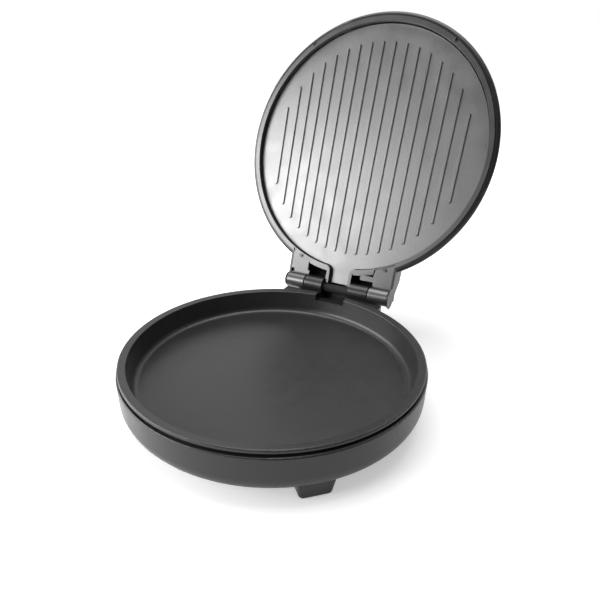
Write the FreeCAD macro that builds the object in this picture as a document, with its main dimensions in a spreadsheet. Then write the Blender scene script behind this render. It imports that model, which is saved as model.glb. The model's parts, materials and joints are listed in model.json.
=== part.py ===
import FreeCAD, Part
import math
import os
import Sketcher

# Electric pizza maker: a round base with a deep pan, and a lid with a ribbed plate that
# turns on a two-knuckle hinge at the rear.
# Frame: +Z up, origin on the worktop under the pan's centre, hinge towards +Y.
# Lid pieces are drawn as they lie when shut and stand open by their Placement.

SIZES = {
    # Base
    "foot_height": 17.7,
    "floor_room": 5.2,
    "housing_overhang": 2.0,
    "housing_wall": 2.6,
    "housing_corner": 18.0,
    "shoulder_round": 1.5,
    "seam_gap": 3.6,
    # Pan
    "lip_width": 9.0,
    "lip_drop": 3.2,
    "lip_thickness": 2.0,
    "flange_thickness": 3.0,
    "flange_rise": 1.0,
    "pan_radius": 156.0,
    "pan_slope": 4.0,
    "pan_depth": 28.0,
    "pan_wall": 3.2,
    "pan_round": 7.0,
    "notch_half": 20.0,
    "notch_depth": 9.0,
    # Heater stack, shared by base and lid
    "element_inset": 61.0,
    "element_width": 6.4,
    "element_height": 6.4,
    "element_gap_angle": 26.0,
    "clamp_offset": 11.0,
    "clamp_thickness": 1.0,
    "shield_thickness": 0.8,
    "shield_room": 1.1,
    "shield_middle": 14.0,
    "shield_inset": 9.0,
    "post_inset": 17.0,
    "post_radius": 5.5,
    "stud_radius": 3.6,
    # Underside
    "cover_inset": 24.0,
    "cover_thickness": 1.6,
    "cover_ledge": 10.0,
    "cover_screw_inset": 5.0,
    "boss_gap": 0.2,
    # Feet
    "foot_inset": 14.0,
    "foot_length": 30.0,
    "foot_width": 32.0,
    "foot_taper": 8.0,
    "foot_corner": 5.0,
    "foot_edge_round": 4.5,
    "foot_screw_offset": 4.0,
    "pad_radius": 9.0,
    "pad_proud": 0.8,
    "pad_recess": 1.4,
    # Hinge
    "hinge_clearance": 0.7,
    "hinge_rise": 2.0,
    "open_angle": 108.6,
    "knuckle_radius": 10.8,
    "knuckle_inner": 19.0,
    "knuckle_outer": 45.0,
    "knuckle_gap": 1.6,
    "barrel_rise": 2.0,
    "pin_radius": 2.5,
    "pin_clearance": 0.05,
    "block_half": 58.0,
    "shoulder_half": 68.0,
    "shoulder_depth": 9.0,
    "block_reach": 8.0,
    "sleeve_radius": 5.5,
    "inlet_radius": 4.5,
    "inlet_side": 32.0,
    # Lid
    "lid_nest": 0.5,
    "nest_gap": 1.0,
    "lid_shell_overhang": 6.0,
    "lid_lip_round": 4.0,
    "lid_lip_depth": 3.0,
    "lid_shoulder_overhang": 2.0,
    "lid_shoulder_height": 33.0,
    "lid_height": 42.0,
    "lid_corner": 9.0,
    "lid_wall": 2.4,
    "rim_width": 5.3,
    "frame_height": 13.4,
    "ear_outer": 75.0,
    "ear_wall": 2.7,
    "ear_lift": 2.0,
    "ear_rear": 18.0,
    "ear_seat_inset": 4.0,
    "ear_screw_side": 60.3,
    "ear_screw_inset": 0.7,
    "ear_screw_head": 2.2,
    "hood_clearance": 1.6,
    "hood_end_angle": 80.0,
    "rear_rim_overhang": 2.0,
    "tab_inner": 29.0,
    "tab_front": 25.0,
    "tab_rear": 18.5,
    # Upper plate
    "lid_post_inset": 30.0,
    "lid_shield_inset": 11.7,
    "lid_shield_room": 2.6,
    "plate_recess": 7.5,
    "plate_gap": 1.0,
    "plate_thickness": 2.6,
    "rib_pitch": 14.9,
    "rib_inset": 20.5,
    "rib_width": 4.6,
    "rib_height": 2.2,
    "tongue_root_half": 13.6,
    "tongue_end_half": 12.6,
    "tongue_end": 7.0,
    "tongue_round": 8.0,
    "channel_half": 18.0,
    "channel_gap": 1.0,
    "channel_roof": 2.0,
    "hood_rest_gap": 0.431,
    # Handle and lights
    "handle_angle": 60.0,
    "handle_proud": 5.5,
    "lens_radius": 4.0,
    "lens_spacing": 24.0,
    "lens_inset": 43.0,
    # Clearances and fasteners
    "seat_gap": 0.3,
    "fit_gap": 0.1,
    "screw_radius": 1.7,
    "screw_head_radius": 3.2,
    "screw_head_height": 2.0,
}
FEET = {"front_right": -45, "front_left": -135, "rear_left": 120, "rear_right": 60}
POST_ANGLES = [0, 90, 180, 270]
CLAMP_ANGLES = [30, 150, 270]
LID_POST_ANGLES = [45, 135, 225, 315]
COVER_ANGLES = [20, 160, 200, 340]
NEAR = 0.001

doc = FreeCAD.newDocument("pizza_maker")
sheet = doc.addObject("Spreadsheet::Sheet", "Sizes")
for row, (alias, value) in enumerate(SIZES.items(), 1):
    sheet.set(f"A{row}", alias)
    sheet.set(f"B{row}", str(value))
    sheet.setAlias(f"B{row}", alias)
doc.recompute()


class Size:
    """A length or angle: its value now, and the expression that keeps it tied to the sheet."""

    def __init__(self, value, text=None):
        self.value = float(value)
        self.text = text if text is not None else repr(float(value))

    def joined(self, other, sign, value):
        return Size(value, f"({self.text} {sign} {other.text})")

    def __add__(self, other):
        other = size(other)
        return self.joined(other, "+", self.value + other.value)

    def __sub__(self, other):
        other = size(other)
        return self.joined(other, "-", self.value - other.value)

    def __mul__(self, other):
        other = size(other)
        return self.joined(other, "*", self.value * other.value)

    def __truediv__(self, other):
        other = size(other)
        return self.joined(other, "/", self.value / other.value)

    def __radd__(self, other):
        return size(other) + self

    def __rsub__(self, other):
        return size(other) - self

    def __rmul__(self, other):
        return size(other) * self

    def __neg__(self):
        return size(0) - self


def size(value):
    return value if isinstance(value, Size) else Size(value)


def cell(alias):
    return Size(SIZES[alias], f"Sizes.{alias}")


def root(value):
    return Size(math.sqrt(value.value), f"sqrt({value.text})")


def cosine(angle):
    angle = size(angle)
    return Size(math.cos(math.radians(angle.value)), f"cos({angle.text})")


def sine(angle):
    angle = size(angle)
    return Size(math.sin(math.radians(angle.value)), f"sin({angle.text})")


def arcsine(ratio):
    return Size(math.degrees(math.asin(ratio.value)), f"asin({ratio.text})")


def on_circle(radius, angle):
    return radius * cosine(angle), radius * sine(angle)


def bind(thing, name, value):
    thing.setExpression(name, size(value).text)


# Document helpers: bodies, sketches and their loops

def new_body(label):
    body = doc.addObject("PartDesign::Body", label)
    body.Label = label
    return body


def sketch(body, name, plane, offset=0.0):
    """Sketch on one of the body's origin planes, moved along the plane's normal."""
    drawing = body.newObject("Sketcher::SketchObject", f"{body.Name}_{name}")
    planes = {feature.Role: feature for feature in body.Origin.OriginFeatures}
    drawing.AttachmentSupport = [(planes[plane], "")]
    drawing.MapMode = "FlatFace"
    bind(drawing, "AttachmentOffset.Base.z", offset)
    return drawing


def fix_point(drawing, edge, end, x, y):
    """Hold one point of the sketch at x, y from the sketch's origin."""
    for kind, place in (("DistanceX", size(x)), ("DistanceY", size(y))):
        index = drawing.addConstraint(Sketcher.Constraint(kind, -1, 1, edge, end, place.value))
        bind(drawing, f"Constraints[{index}]", place)


def fix_radius(drawing, edge, radius):
    index = drawing.addConstraint(Sketcher.Constraint("Radius", edge, radius.value))
    bind(drawing, f"Constraints[{index}]", radius)


def outline(drawing, corners, arcs=None):
    """Closed loop through the corners; arcs gives an edge's centre as (x, y), y may be None."""
    arcs = arcs or {}
    corners = [(size(x), size(y)) for x, y in corners]
    ends = []
    for number, (x, y) in enumerate(corners):
        next_x, next_y = corners[(number + 1) % len(corners)]
        start = FreeCAD.Vector(x.value, y.value, 0)
        stop = FreeCAD.Vector(next_x.value, next_y.value, 0)
        if number not in arcs:
            edge = drawing.addGeometry(Part.LineSegment(start, stop), False)
            ends.append((edge, 1, 2))
            continue
        centre_x, centre_y = arcs[number]
        middle = arc_centre(start, stop, centre_x, centre_y)
        turned = (start - middle).cross(stop - middle).z < 0
        first, last = (stop, start) if turned else (start, stop)
        angles = [math.atan2(p.y - middle.y, p.x - middle.x) for p in (first, last)]
        circle = Part.Circle(middle, FreeCAD.Vector(0, 0, 1), (start - middle).Length)
        edge = drawing.addGeometry(Part.ArcOfCircle(circle, *angles), False)
        ends.append((edge, 2, 1) if turned else (edge, 1, 2))
        index = drawing.addConstraint(
            Sketcher.Constraint("DistanceX", -1, 1, edge, 3, size(centre_x).value)
        )
        bind(drawing, f"Constraints[{index}]", centre_x)
    for number, (edge, _, stop_end) in enumerate(ends):
        next_edge, next_start, _ = ends[(number + 1) % len(ends)]
        drawing.addConstraint(
            Sketcher.Constraint("Coincident", edge, stop_end, next_edge, next_start)
        )
    for (edge, start_end, _), (x, y) in zip(ends, corners):
        fix_point(drawing, edge, start_end, x, y)
    return drawing


def arc_centre(start, stop, centre_x, centre_y):
    """Centre of an arc whose centre's x is known: as far from start as from stop."""
    x = size(centre_x).value
    if centre_y is not None:
        return FreeCAD.Vector(x, size(centre_y).value, 0)
    reach_start = (start.x - x) ** 2 + start.y**2
    reach_stop = (stop.x - x) ** 2 + stop.y**2
    return FreeCAD.Vector(x, (reach_start - reach_stop) / (2 * (start.y - stop.y)), 0)


def rectangle(drawing, left, right, low, high):
    return outline(drawing, [(left, low), (right, low), (right, high), (left, high)])


def circle(drawing, x, y, radius):
    x, y, radius = size(x), size(y), size(radius)
    centre = FreeCAD.Vector(x.value, y.value, 0)
    shape = Part.Circle(centre, FreeCAD.Vector(0, 0, 1), radius.value)
    edge = drawing.addGeometry(shape, False)
    fix_point(drawing, edge, 3, x, y)
    fix_radius(drawing, edge, radius)
    return drawing


def slot(drawing, x, low, high, half_width):
    """Round-ended slot along the sketch's Y, its end centres at low and high."""
    x, low, high, half_width = size(x), size(low), size(high), size(half_width)
    up = FreeCAD.Vector(0, 0, 1)
    top = FreeCAD.Vector(x.value, high.value, 0)
    bottom = FreeCAD.Vector(x.value, low.value, 0)
    side = FreeCAD.Vector(half_width.value, 0, 0)
    radius = half_width.value
    cap = drawing.addGeometry(Part.ArcOfCircle(Part.Circle(top, up, radius), 0, math.pi))
    foot = drawing.addGeometry(
        Part.ArcOfCircle(Part.Circle(bottom, up, radius), math.pi, 2 * math.pi)
    )
    left = drawing.addGeometry(Part.LineSegment(top - side, bottom - side))
    right = drawing.addGeometry(Part.LineSegment(bottom + side, top + side))
    for joint in ((cap, 2, left, 1), (left, 2, foot, 1), (foot, 2, right, 1), (right, 2, cap, 1)):
        drawing.addConstraint(Sketcher.Constraint("Tangent", *joint))
    drawing.addConstraint(Sketcher.Constraint("Equal", cap, foot))
    fix_point(drawing, cap, 3, x, high)
    fix_point(drawing, foot, 3, x, low)
    fix_radius(drawing, cap, half_width)


# Document helpers: features, each with a check that it did what it is for

def volume(body):
    return body.Shape.Volume if body.Tip else 0.0


def feature(body, kind, drawing, grows, **options):
    before = volume(body)
    made = body.newObject(f"PartDesign::{kind}", f"{drawing.Name}_{kind.lower()}")
    made.Profile = drawing
    for name, value in options.items():
        if isinstance(value, Size):
            bind(made, name, value)
        else:
            setattr(made, name, value)
    doc.recompute()
    change = volume(body) - before
    if change * (1 if grows else -1) < NEAR:
        raise RuntimeError(f"{made.Name} changed the volume by {change:.3f}")
    return made


def pad(body, drawing, length, **options):
    return feature(body, "Pad", drawing, True, Length=size(length), **options)


def pocket(body, drawing, length, **options):
    return feature(body, "Pocket", drawing, False, Length=size(length), **options)


def revolve(body, drawing, angle=360.0, **options):
    axis = (drawing, ["V_Axis"])
    return feature(body, "Revolution", drawing, True, ReferenceAxis=axis, Angle=size(angle), **options)


def groove(body, drawing):
    axis = (drawing, ["V_Axis"])
    return feature(body, "Groove", drawing, False, ReferenceAxis=axis, Angle=size(360.0))


def around(body, made, count):
    """Repeat the last feature evenly round the body's Z axis."""
    axes = {item.Role: item for item in body.Origin.OriginFeatures}
    pattern = body.newObject("PartDesign::PolarPattern", f"{made.Name}_around")
    pattern.Originals = [made]
    pattern.Axis = (axes["Z_Axis"], [""])
    pattern.Angle = 360
    pattern.Occurrences = count
    body.Tip = pattern
    doc.recompute()
    return pattern


def soften(body, radius, wanted):
    """Fillet the edges that the test picks out of the body as it stands."""
    base = body.Tip
    names = [f"Edge{n}" for n, edge in enumerate(base.Shape.Edges, 1) if wanted(edge)]
    if not names:
        raise RuntimeError(f"{body.Name} has no edge to fillet")
    fillet = body.newObject("PartDesign::Fillet", f"{body.Name}_fillet")
    fillet.Base = (base, names)
    bind(fillet, "Radius", radius)
    doc.recompute()
    if "Invalid" in fillet.State:
        raise RuntimeError(f"{fillet.Name} failed on {len(names)} edges")
    return fillet


def ring_at(radius, height):
    """Test for a circular edge about the Z axis."""
    radius, height = size(radius).value, size(height).value

    def wanted(edge):
        if edge.Degenerated or not isinstance(edge.Curve, Part.Circle):
            return False
        curve = edge.Curve
        return abs(curve.Radius - radius) < NEAR and abs(curve.Center.z - height) < NEAR

    return wanted


def upright_at(x, y, reach=0.6):
    """Test for a vertical edge near x, y, on either side of the middle."""
    x, y = size(x).value, size(y).value

    def wanted(edge):
        box = edge.BoundBox
        thin = box.XLength < reach and box.YLength < reach and box.ZLength > reach
        near = math.hypot(abs(box.Center.x) - x, box.Center.y - y) < reach
        return thin and near

    return wanted


# Document helpers: plain primitives and booleans

AXIS_TURNS = {"Z": ((0, 0, 1), 0), "X": ((0, 1, 0), 90), "Y": ((1, 0, 0), -90)}


def place(thing, x, y, z):
    for name, value in (("x", x), ("y", y), ("z", z)):
        bind(thing, f"Placement.Base.{name}", value)


def cylinder(name, radius, height, x, y, z, axis="Z"):
    made = doc.addObject("Part::Cylinder", name)
    bind(made, "Radius", radius)
    bind(made, "Height", height)
    direction, turn = AXIS_TURNS[axis]
    made.Placement.Rotation = FreeCAD.Rotation(FreeCAD.Vector(*direction), turn)
    place(made, x, y, z)
    return made


def box(name, x, y, z):
    """Block between the pairs x, y and z."""
    made = doc.addObject("Part::Box", name)
    for prop, (low, high) in (("Length", x), ("Width", y), ("Height", z)):
        bind(made, prop, size(high) - low)
    place(made, x[0], y[0], z[0])
    return made


def fuse(label, pieces):
    made = doc.addObject("Part::MultiFuse", label)
    made.Shapes = pieces
    made.Refine = True
    made.Label = label
    return made


def cut(label, base, tools):
    made = doc.addObject("Part::Cut", label)
    made.Base = base
    made.Tool = tools[0] if len(tools) == 1 else fuse(f"{label}_tools", tools)
    made.Refine = True
    made.Label = label
    return made


def screws(label, places, length, up=True, head_radius=None):
    """Screws along Z: each place is where the head's underside seats; up means the shank rises."""
    head_radius = head_radius or cell("screw_head_radius")
    head_height = cell("screw_head_height")
    pieces = []
    for number, (x, y, z) in enumerate(places):
        z = size(z)
        head_z = z - head_height if up else z
        shank_z = z if up else z - length
        pieces.append(cylinder(f"{label}_head{number}", head_radius, head_height, x, y, head_z))
        pieces.append(cylinder(f"{label}_shank{number}", cell("screw_radius"), length, x, y, shank_z))
    return fuse(label, pieces)


# Levels and radii worked out from the sheet

element_height = cell("element_height")
heater_stack = element_height + cell("clamp_thickness") + cell("screw_head_height")
shield_drop = heater_stack + cell("shield_room")
lid_shield_drop = heater_stack + cell("lid_shield_room")
pan_stack = cell("pan_depth") + cell("pan_wall") + shield_drop + cell("shield_thickness")
housing_bottom = cell("foot_height")
housing_floor = housing_bottom + cell("housing_wall")
shield_under = housing_floor + cell("floor_room")
rim_z = shield_under + pan_stack
housing_top = rim_z - cell("lip_drop") - cell("seam_gap")
pan_floor = rim_z - cell("pan_depth")
pan_under = pan_floor - cell("pan_wall")
flange_under = rim_z - cell("flange_thickness")
element_under = pan_under - element_height
shield_top = pan_under - shield_drop
pan_radius = cell("pan_radius")
pan_floor_radius = pan_radius - cell("pan_slope")
lip_radius = pan_radius + cell("lip_width")
housing_radius = lip_radius + cell("housing_overhang")
housing_inner = housing_radius - cell("housing_wall")
element_circle = pan_radius - cell("element_inset")
clamp_circle = element_circle + cell("clamp_offset")
post_circle = pan_radius - cell("post_inset")
shield_radius = pan_radius - cell("shield_inset")
lid_post_circle = pan_radius - cell("lid_post_inset")
cover_radius = pan_radius - cell("cover_inset")
cover_opening = cover_radius - cell("cover_ledge")
cover_screw_circle = cover_radius - cell("cover_screw_inset")
foot_circle = pan_radius - cell("foot_inset")
foot_screw_circle = foot_circle - cell("foot_screw_offset")
knuckle_reach = cell("knuckle_radius") + cell("barrel_rise")
hinge_y = lip_radius + knuckle_reach + cell("hinge_clearance")
hinge_z = rim_z + cell("hinge_rise")
block_front = hinge_y - knuckle_reach - cell("hinge_clearance")
block_rear = hinge_y + cell("block_reach")
block_top = rim_z - 1.5
block_shelf = hinge_z - knuckle_reach - cell("hinge_clearance")
barrel_inner = cell("knuckle_outer") + cell("knuckle_gap")
barrel_outer = cell("ear_outer") - cell("ear_wall") - cell("seat_gap")
lid_radius = pan_radius - cell("nest_gap")
recess_radius = lid_radius - cell("rim_width")
plate_radius = recess_radius - cell("plate_gap")
rib_circle = recess_radius - cell("rib_inset")
lug_circle = recess_radius - 5.5
lid_shell_radius = lid_radius + cell("lid_shell_overhang")
lid_shoulder_radius = lid_radius + cell("lid_shoulder_overhang")
lid_shield_radius = recess_radius - cell("lid_shield_inset")
lens_back = lid_radius - cell("lens_inset")
lid_z = rim_z - cell("lid_nest")
ear_z = lid_z + cell("ear_lift")
plate_face = lid_z + cell("plate_recess")
plate_back = plate_face + cell("plate_thickness")
lid_element_top = plate_back + element_height
lid_shield = plate_back + lid_shield_drop
ear_front = root(recess_radius * recess_radius - cell("ear_outer") * cell("ear_outer"))
ear_rear = hinge_y - cell("ear_rear")
ear_seat_radius = lid_radius - cell("ear_seat_inset")
ear_screw_circle = lid_radius - cell("ear_screw_inset")
hood_curl = knuckle_reach + cell("hood_clearance")
channel_top = plate_back + cell("channel_gap") + cell("channel_roof")
curl_rise = channel_top + cell("hood_rest_gap") - hinge_z
curl_start = (hinge_y - root(hood_curl * hood_curl - curl_rise * curl_rise), hinge_z + curl_rise)
hood_top = lid_z + cell("lid_shoulder_height") - 3.5


def shut(y, z):
    """Where a point of the open lid, given from the hinge axis, lies when the lid is shut."""
    turn = cell("open_angle")
    y, z = size(y), size(z)
    return (
        hinge_y + y * cosine(turn) - z * sine(turn),
        hinge_z + y * sine(turn) + z * cosine(turn),
    )


def open_lid(thing):
    """Turn a lid piece about the hinge axis to its open place."""
    turn = -cell("open_angle")
    thing.Placement = FreeCAD.Placement(
        FreeCAD.Vector(), FreeCAD.Rotation(FreeCAD.Vector(1, 0, 0), turn.value)
    )
    bind(thing, "Placement.Rotation.Angle", turn)
    bind(thing, "Placement.Base.y", hinge_y - hinge_y * cosine(turn) + hinge_z * sine(turn))
    bind(thing, "Placement.Base.z", hinge_z - hinge_y * sine(turn) - hinge_z * cosine(turn))
    return thing


# Base

def base_housing():
    body = new_body("base_housing")
    shell = sketch(body, "shell", "XZ_Plane")
    ledge_outer = lip_radius - cell("lip_thickness") - cell("fit_gap") * 4
    ledge_inner = ledge_outer - 2.1
    outline(shell, [
        (cover_opening, housing_bottom),
        (housing_radius, housing_bottom),
        (housing_radius, housing_top),
        (ledge_outer, housing_top),
        (ledge_outer, flange_under),
        (ledge_inner, flange_under),
        (ledge_inner, housing_top - 3),
        (housing_inner, housing_top - 8),
        (housing_inner, housing_floor),
        (cover_opening, housing_floor),
    ])
    revolve(body, shell)
    soften(body, cell("housing_corner"), ring_at(housing_radius, housing_bottom))
    inner_corner = cell("housing_corner") - cell("housing_wall")
    soften(body, inner_corner, ring_at(housing_inner, housing_floor))
    soften(body, cell("shoulder_round"), ring_at(housing_radius, housing_top))

    rabbet = sketch(body, "rabbet", "XY_Plane", housing_bottom)
    circle(rabbet, 0, 0, cover_radius + cell("seat_gap"))
    pocket(body, rabbet, cell("cover_thickness"), Reversed=True)

    half = cell("block_half")
    wall = cell("housing_wall")
    front = block_front
    rear = block_rear
    inside = hinge_y - 34
    block = sketch(body, "block", "YZ_Plane", -half)
    outline(block, [
        (inside, block_top), (front, block_top), (front, block_shelf), (rear, block_shelf),
        (rear, block_shelf - 24), (rear - 8, block_shelf - 32), (inside, housing_bottom + 5),
    ])
    pad(body, block, half * 2)
    shoulder_half = cell("shoulder_half")
    shoulder = sketch(body, "shoulder", "YZ_Plane", -shoulder_half)
    rectangle(shoulder, inside - 8, front, block_top - cell("shoulder_depth"), block_top)
    pad(body, shoulder, shoulder_half * 2)
    hollow = sketch(body, "hollow", "YZ_Plane", -(half - wall))
    outline(hollow, [
        (inside - 6, block_shelf - wall), (rear - wall, block_shelf - wall),
        (rear - wall, block_shelf - 23), (rear - 9, block_shelf - 32 + wall),
        (inside - 6, housing_bottom + 6 + wall),
    ])
    pocket(body, hollow, (half - wall) * 2, Reversed=True)
    bowl = sketch(body, "bowl", "XZ_Plane")
    outline(bowl, [
        (cover_opening, housing_floor),
        (housing_inner - cell("housing_corner"), housing_floor),
        (housing_inner - 4, housing_floor + 6),
        (ledge_inner, housing_top - 3),
        (ledge_inner, flange_under),
        (ledge_outer, flange_under),
        (ledge_outer, housing_top),
        (lip_radius + 0.5, housing_top),
        (lip_radius + 0.5, rim_z + 5),
        (cover_opening, rim_z + 5),
    ])
    groove(body, bowl)
    trough = sketch(body, "trough", "YZ_Plane", -cell("notch_half"))
    notch_floor = rim_z - cell("notch_depth")
    rectangle(trough, inside - 20, rear + 5, notch_floor, rim_z + 5)
    pocket(body, trough, cell("notch_half") * 2, Reversed=True)
    back_wall = sketch(body, "back_wall", "YZ_Plane", -cell("notch_half"))
    rectangle(back_wall, hinge_y + cell("sleeve_radius") + 0.3, rear, block_shelf - 1, block_top)
    pad(body, back_wall, cell("notch_half") * 2)

    for side in (-1, 1):
        start = cell("knuckle_inner") if side > 0 else -cell("knuckle_outer")
        width = cell("knuckle_outer") - cell("knuckle_inner")
        knuckle = sketch(body, f"knuckle{side + 1}", "YZ_Plane", start)
        circle(knuckle, hinge_y, hinge_z + cell("barrel_rise"), cell("knuckle_radius"))
        pad(body, knuckle, width)
        neck = sketch(body, f"neck{side + 1}", "YZ_Plane", start)
        rectangle(neck, front - 1, hinge_y + 8, block_shelf - 1, block_top)
        pad(body, neck, width)
        hole = sketch(body, f"pin_hole{side + 1}", "YZ_Plane", start)
        circle(hole, hinge_y, hinge_z, cell("pin_radius") + cell("pin_clearance") / 2)
        pocket(body, hole, width, Reversed=True)

    boss_top = shield_under
    bosses = sketch(body, "bosses", "XY_Plane", housing_floor - 0.5)
    for angle in POST_ANGLES:
        circle(bosses, *on_circle(post_circle, angle), cell("post_radius"))
    pad(body, bosses, boss_top - housing_floor + 0.5)
    low_bosses = sketch(body, "low_bosses", "XY_Plane", housing_floor - 0.5)
    for angle in FEET.values():
        circle(low_bosses, *on_circle(foot_screw_circle, angle), 4.5)
    for angle in COVER_ANGLES:
        circle(low_bosses, *on_circle(cover_screw_circle, angle), 4.0)
    pad(body, low_bosses, cell("floor_room") - cell("boss_gap") + 0.5)
    holes = sketch(body, "screw_holes", "XY_Plane", housing_bottom - 1)
    free_radius = cell("screw_radius") + cell("fit_gap")
    for angle in POST_ANGLES:
        circle(holes, *on_circle(post_circle, angle), free_radius)
    for angle in FEET.values():
        circle(holes, *on_circle(foot_screw_circle, angle), free_radius)
    for angle in COVER_ANGLES:
        circle(holes, *on_circle(cover_screw_circle, angle), free_radius)
    pocket(body, holes, boss_top - housing_bottom + 2, Reversed=True)
    sinks = sketch(body, "screw_sinks", "XY_Plane", housing_bottom - 1)
    for angle in POST_ANGLES:
        circle(sinks, *on_circle(post_circle, angle), cell("screw_head_radius") + 0.6)
    pocket(body, sinks, cell("screw_head_height") + 2, Reversed=True)

    inlet = sketch(body, "inlet", "XZ_Plane", -rear)
    circle(inlet, cell("inlet_side"), inlet_height(), cell("inlet_radius") + 2 + cell("fit_gap"))
    pocket(body, inlet, wall + 1, Reversed=True)
    return body


def inlet_height():
    return block_shelf - 13


def lower_plate():
    body = new_body("lower_plate")
    section = sketch(body, "section", "XZ_Plane")
    lip = lip_radius
    mouth = pan_radius
    floor_radius = pan_floor_radius
    wall = cell("pan_wall")
    lip_inner = lip - cell("lip_thickness")
    outline(section, [
        (0, pan_floor),
        (floor_radius, pan_floor),
        (mouth, rim_z - cell("flange_rise")),
        (lip_inner, rim_z),
        (lip, rim_z),
        (lip, rim_z - cell("lip_drop")),
        (lip_inner, rim_z - cell("lip_drop")),
        (lip_inner, flange_under),
        (mouth + wall, flange_under),
        (floor_radius + wall, pan_under),
        (0, pan_under),
    ])
    revolve(body, section)
    soften(body, cell("pan_round"), ring_at(floor_radius, pan_floor))
    soften(body, cell("pan_round") + 1.5, ring_at(floor_radius + wall, pan_under))
    soften(body, cell("lip_thickness") * 0.8, ring_at(lip, rim_z))
    soften(body, size(0.8), ring_at(mouth, rim_z - cell("flange_rise")))
    notch = sketch(body, "notch", "YZ_Plane", -cell("notch_half"))
    rectangle(notch, mouth - 20, lip + 3, rim_z - cell("notch_depth"), rim_z + 5)
    pocket(body, notch, cell("notch_half") * 2, Reversed=True)

    posts = sketch(body, "posts", "XY_Plane", shield_top)
    for angle in POST_ANGLES:
        circle(posts, *on_circle(post_circle, angle), cell("post_radius"))
    pad(body, posts, pan_under - shield_top + 0.5)
    clamp_posts = sketch(body, "clamp_posts", "XY_Plane", element_under)
    for angle in CLAMP_ANGLES:
        circle(clamp_posts, *on_circle(clamp_circle, angle), 4.0)
    for x in THERMOSTAT_POSTS:
        circle(clamp_posts, x, 0, 4.0)
    pad(body, clamp_posts, element_height + 0.5)
    holes = sketch(body, "screw_holes", "XY_Plane", shield_top - 1)
    free_radius = cell("screw_radius") + cell("fit_gap")
    for angle in POST_ANGLES:
        circle(holes, *on_circle(post_circle, angle), free_radius)
    for angle in CLAMP_ANGLES:
        circle(holes, *on_circle(clamp_circle, angle), free_radius)
    for x in THERMOSTAT_POSTS:
        circle(holes, x, 0, free_radius)
    pocket(body, holes, shield_drop + 0.6, Reversed=True)
    return body


THERMOSTAT_POSTS = [-17, 17]


def heating_element(label, seat, downwards):
    """Open ring of flattened tube on the plate's back, with two turned legs and their pins."""
    body = new_body(label)
    half = cell("element_width") / 2
    height = element_height
    away = -height if downwards else height
    ring = sketch(body, "ring", "YZ_Plane")
    centre = element_circle
    chamfer = half * 0.55
    outline(ring, [
        (-(centre - half), seat), (-(centre + half), seat),
        (-(centre + half), seat + away * 0.55), (-(centre + half - chamfer), seat + away),
        (-(centre - half + chamfer), seat + away), (-(centre - half), seat + away * 0.55),
    ])
    revolve(body, ring, 360 - cell("element_gap_angle"), Midplane=True)
    leg_start = seat + away * 0.3
    for number, angle in enumerate(element_ends()):
        x, y = on_circle(centre, angle)
        base = leg_start + away * 1.1 if downwards else leg_start
        leg = sketch(body, f"leg{number}", "XY_Plane", base)
        circle(leg, x, y, half * 0.85)
        pad(body, leg, height * 1.1)
        pin_base = base - 3 if downwards else base + height * 1.1 - 0.5
        pin = sketch(body, f"pin{number}", "XY_Plane", pin_base)
        circle(pin, x, y, 1.1)
        pad(body, pin, 3.5)
    return body


def element_ends():
    """Angles of the element's two legs, just inside the ends of its ring."""
    reach = cell("element_gap_angle") / 2 + 1.8
    return 90 - reach, 90 + reach


def heat_shield(label, level, lift, radius, post_circle, post_angles):
    """Pressed tray with its edge turned by lift, clearing the posts' screws."""
    body = new_body(label)
    thickness = cell("shield_thickness")
    tray = sketch(body, "tray", "XZ_Plane")
    outline(tray, [
        (0, level), (radius, level), (radius + 3, level - lift),
        (radius + 3 + thickness, level - lift), (radius + thickness / 2, level + thickness),
        (0, level + thickness),
    ])
    revolve(body, tray)
    holes = sketch(body, "holes", "XY_Plane", level - 1)
    for angle in post_angles:
        circle(holes, *on_circle(post_circle, angle), cell("stud_radius"))
    for angle in element_ends():
        circle(holes, *on_circle(element_circle, angle), 5.0)
    circle(holes, 0, 0, cell("shield_middle"))
    pocket(body, holes, thickness + 2, Reversed=True)
    return body


def element_clamps(label, level):
    """Spring-steel straps from the clamp posts over the element, one per post."""
    straps = []
    inner = element_circle - 7
    outer = clamp_circle + 5
    for number, angle in enumerate(CLAMP_ANGLES):
        strap = doc.addObject("Part::Box", f"{label}_strap{number}")
        bind(strap, "Length", outer - inner)
        bind(strap, "Width", 10)
        bind(strap, "Height", cell("clamp_thickness"))
        strap.Placement.Rotation = FreeCAD.Rotation(FreeCAD.Vector(0, 0, 1), angle)
        place(
            strap,
            inner * cosine(angle) + 5 * sine(angle),
            inner * sine(angle) - 5 * cosine(angle),
            level,
        )
        straps.append(strap)
    free_radius = cell("screw_radius") + cell("fit_gap")
    holes = [
        cylinder(
            f"{label}_hole{number}", free_radius, 6,
            *on_circle(clamp_circle, angle), level - 2,
        )
        for number, angle in enumerate(CLAMP_ANGLES)
    ]
    return cut(label, fuse(f"{label}_straps", straps), holes)


def thermostat():
    """Disc thermostat on the pan's back, with two blade terminals, held by its bracket."""
    case_under = element_under - 2.8
    can = cylinder("thermostat_can", 8.0, element_height, 0, 0, element_under)
    case = cylinder("thermostat_case", 6.2, 2.8, 0, 0, case_under)
    blades = [
        box(f"thermostat_blade{n}", (x - 2, x + 2), (-0.4, 0.4), (case_under - 4, case_under + 0.1))
        for n, x in enumerate((-4, 4))
    ]
    return fuse("thermostat", [can, case] + blades)


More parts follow.
